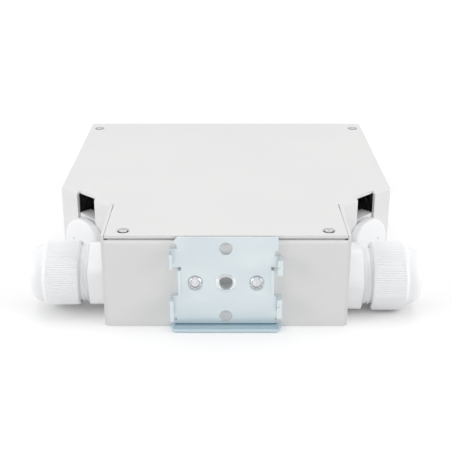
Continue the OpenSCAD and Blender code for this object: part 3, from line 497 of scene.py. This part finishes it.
def gland_body(bm, side, hexagon_rise):
    tail_end, cable_r = -0.010, mouth_r + 0.0003
    outside = [(cable_r, tail_end)] + threaded(thread_r, 0.00045, thread_pitch, tail_end, -0.001)
    outside += [(thread_r, -0.0009), (thread_r, 0.0)]
    front = [(0.0096, hexagon_len - 0.0002)]
    front += threaded(thread_r, 0.00055, thread_pitch, hexagon_len, thread_end)
    front += [(collet_r, thread_end), (collet_r, collet_end), (collet_bore_r, collet_end),
              (collet_bore_r, seat_height), (cable_r, seat_height), (cable_r, tail_end)]
    turned(bm, outside + [(0.0094, 0.0001)] + front, 96, out_of_neck(side))
    part = bmesh.new()
    bmesh.ops.create_circle(part, cap_ends=True, segments=72, radius=hexagon_r)
    for vert in part.verts:
        turn = math.atan2(vert.co.x, vert.co.y)
        from_flat = abs((turn + math.pi / 3) % (math.pi / 3) - math.pi / 6)
        vert.co *= min(hexagon_r, hexagon_flats / 2 / math.cos(from_flat)) / hexagon_r
    made = bmesh.ops.extrude_face_region(part, geom=part.faces[:])["geom"]
    bmesh.ops.translate(part, vec=(0, 0, hexagon_len), verts=only(bmesh.types.BMVert, made))
    rims = [e for e in part.edges if abs(e.verts[0].co.z - e.verts[1].co.z) < 1e-6]
    bmesh.ops.bevel(part, geom=rims, offset=0.0003, offset_type="OFFSET", affect="EDGES",
                    segments=2, profile=0.5, material=-1)
    bmesh.ops.rotate(part, cent=(0, 0, 0), matrix=Matrix.Rotation(-side * hexagon_rise, 3, "Z"),
                     verts=part.verts)
    add(bm, part, out_of_neck(side))


for side, label, hexagon_rise, flat_rise in ((-1, "left", 23, 115), (1, "right", 9, -37)):
    bm = bmesh.new()
    gland_body(bm, side, math.radians(hexagon_rise))
    finished(bm, "gland_thread_" + label, white_nylon, "case", "gland_body_" + label)
    bm = bmesh.new()
    ribbed_nut(bm, side, math.radians(flat_rise))
    finished(bm, "gland_cap_" + label, ribbed_nylon, "gland_nut_" + label,
             "gland_nut_" + label)

# Lid and its screws
# One sheet folded down over the case and coated as the tray is. Four small countersunk
# cross-head screws, nickel-plated, hold it to the tray's folds.

# Dark metal that paints the shade on the screw heads' slopes and recesses
painted_shade_rim = skin("painted_shade_rim", (0.10, 0.10, 0.105), (0.05, 0.05, 0.055), 0.3, metallic=0.9,
                     cloudiness=0.5, cloud_scale=900.0, bump=0.05, edge=0.00005)


# Slopes of a screw's head between the two radii get a dark metal, painted shade for the dark ring round the
# head and in its recess; its flat face is bright
def paint_shade_on_slopes(piece, face_way, places, ring_low, ring_high):
    piece.data.materials.append(painted_shade_rim)
    way = Vector(face_way)
    for face in piece.data.polygons:
        offsets = [face.center - Vector(place) for place in places]
        nearest = min((offset - way * offset.dot(way)).length for offset in offsets)
        if face.normal.dot(way) < 0.9 and ring_low < nearest < ring_high:
            face.material_index = 1


lid_screw_places = [(side * x, clip_side_y + y)
                    for side in (-1, 1) for x, y in ((0.034, 0.005), (0.0569, 0.1242))]
give(powder_coat, "lid")
bm = bmesh.new()
for x, y in lid_screw_places:
    screw(bm, cross_outline(0.0009, 0.0002), 0.0004, 0.55, 0.0013,
          [(0.0017, 0.00025), (0.0020, 0.0006), (0.00125, 0.00115), (0.00125, 0.006)],
          Matrix.Translation((x, y, case_height - 0.00005)) @ Matrix.Rotation(math.radians(20), 4, "Z"))
paint_shade_on_slopes(finished(bm, "lid_screw_set", screw_plate, "lid", "lid_screws"), (0, 0, 1),
              [(x, y, case_height) for x, y in lid_screw_places], 0.0013, 0.0021)

# Blind plugs
# White nylon plugs close the round holes of the slanted walls. Each has a broad flat head
# with the small mark of the moulding gate beside its middle, and a lock nut inside.

plug_z, plug_head_r, plug_head_h = 0.0144, 0.0096, 0.0032
plug_thread_r, plug_tail = 0.0075, 0.009
slant_x, slant_y = 0.05125, clip_side_y + 0.0385
slant_turn = math.atan2(0.019, 0.0205)
give(white_nylon, "plug_locknut_left", "plug_locknut_right")
for side, label in ((-1, "left"), (1, "right")):
    edge = 0.0011
    head = [(0, plug_head_h), (0.004, plug_head_h)]
    for k in range(7):
        turn = math.radians(15 * k)
        head.append((plug_head_r - edge + edge * math.sin(turn), plug_head_h - edge + edge * math.cos(turn)))
    head += [(plug_head_r, 0.0002), (plug_head_r - 0.0002, 0), (plug_thread_r, 0)]
    head += [(r, -h) for r, h in threaded(plug_thread_r, 0.0004, 0.0012, 0.001, plug_tail)]
    head += [(plug_thread_r - 0.0015, -plug_tail), (plug_thread_r - 0.0015, -0.001), (0, -0.001)]
    way_out = Vector((side * math.sin(slant_turn), -math.cos(slant_turn), 0))
    along = Vector((side * math.cos(slant_turn), math.sin(slant_turn), 0)) * side
    place = Matrix.Translation((side * slant_x, slant_y, plug_z)) @ Matrix((
        (along.x, 0, way_out.x, 0), (along.y, 0, way_out.y, 0), (0, 1, 0, 0), (0, 0, 0, 1)))
    bm = bmesh.new()
    turned(bm, head, 96, place)
    gate = Matrix.Translation((side * 0.0044, 0.0015, plug_head_h))
    turned(bm, [(0, -0.0001), (0.0002, -0.0001), (0.00028, 0.00018), (0.0005, 0.00016), (0.0006, -0.0001)],
           16, place @ gate)
    finished(bm, "blind_plug_head_" + label, white_nylon, "lid", "blind_plug_" + label)

# Rail clip and its screws
# Bent from one-millimetre sheet and zinc-plated, bluish, bright and a little uneven. Two
# low-headed screws with star recesses fix it through the back wall, with nuts inside, and
# the middle hole's edge is pressed up into a collar.

clip_middle_z, clip_screw_x = 0.0167, 0.0102
clip_zinc = zinc("clip_zinc")
# The collar's zinc is lighter than the clip's: a painted highlight for the bright crescents on its pressed
# ring
collar_zinc_painted_highlight = skin("collar_zinc_painted_highlight", (0.92, 0.94, 0.95), (0.86, 0.89, 0.91), 0.2, metallic=0.6, bump=0.05)


# Painted light on the clip: its bent-out bottom edge is tinted bluer as a painted reflection, and its bend
# gets a dark band of painted shade
def paint_toe_reflection_and_bend_shade(mat):
    nodes, links = mat.node_tree.nodes, mat.node_tree.links
    coords, split = nodes.new("ShaderNodeTexCoord"), nodes.new("ShaderNodeSeparateXYZ")
    links.new(coords.outputs["Object"], split.inputs["Vector"])
    shader = nodes["Principled BSDF"]
    tone = shader.inputs["Base Color"].links[0].from_socket
    # Bluer band on the toe: painted reflection; dark band in the bend: painted shade
    for middle, half, color in ((0.0, toe_top, (0.64, 0.79, 0.87)),
                                (toe_top + toe_bend, toe_bend, (0.16, 0.28, 0.34))):
        band, mix = nodes.new("ShaderNodeMath"), nodes.new("ShaderNodeMix")
        band.operation = "COMPARE"
        links.new(split.outputs["Z"], band.inputs[0])
        band.inputs[1].default_value = middle
        band.inputs[2].default_value = half
        mix.data_type = "RGBA"
        links.new(band.outputs["Value"], mix.inputs["Factor"])
        links.new(tone, mix.inputs["A"])
        mix.inputs["B"].default_value = (*color, 1)
        tone = mix.outputs["Result"]
    links.new(tone, shader.inputs["Base Color"])


toe_top, toe_bend = 0.00132, 0.0002
paint_toe_reflection_and_bend_shade(clip_zinc)
give(clip_zinc, "din_clip")
give(screw_plate, "clip_nuts")
star_r, star_wave, star_teeth = 0.0016, 0.00014, 10
star = [((star_r + star_wave * math.cos(star_teeth * a)) * math.cos(a),
         (star_r + star_wave * math.cos(star_teeth * a)) * math.sin(a))
        for a in (math.radians(6 * k) for k in range(60))]
bm = bmesh.new()
for side in (-1, 1):
    screw(bm, star, 0.00025, 0.9, 0.00185,
          [(0.0022, 0.0004), (0.0022, 0.0006), (0.0015, 0.0013), (0.0015, 0.0057)],
          Matrix.Translation((side * clip_screw_x, clip_side_y - 0.0012, clip_middle_z))
          @ Matrix.Rotation(math.pi / 2, 4, "X"))
paint_shade_on_slopes(finished(bm, "clip_screw_set", screw_plate, "case", "clip_screws"), (0, -1, 0),
              [(side * clip_screw_x, clip_side_y, clip_middle_z) for side in (-1, 1)], 0, 0.0018)
bm = bmesh.new()
turned(bm, [(0.0034, -0.0001), (0.0034, 0.00002), (0.0032, 0.00012), (0.0027, 0.00052), (0.00255, 0.00058),
            (0.00245, 0.0005), (0.0024, 0.0004), (0.0024, -0.0006), (0.0026, -0.0006), (0.0034, -0.0001)],
       64, Matrix.Translation((0, clip_side_y - 0.001, clip_middle_z)) @ Matrix.Rotation(math.pi / 2, 4, "X"))
finished(bm, "clip_collar", collar_zinc_painted_highlight, "case", None)
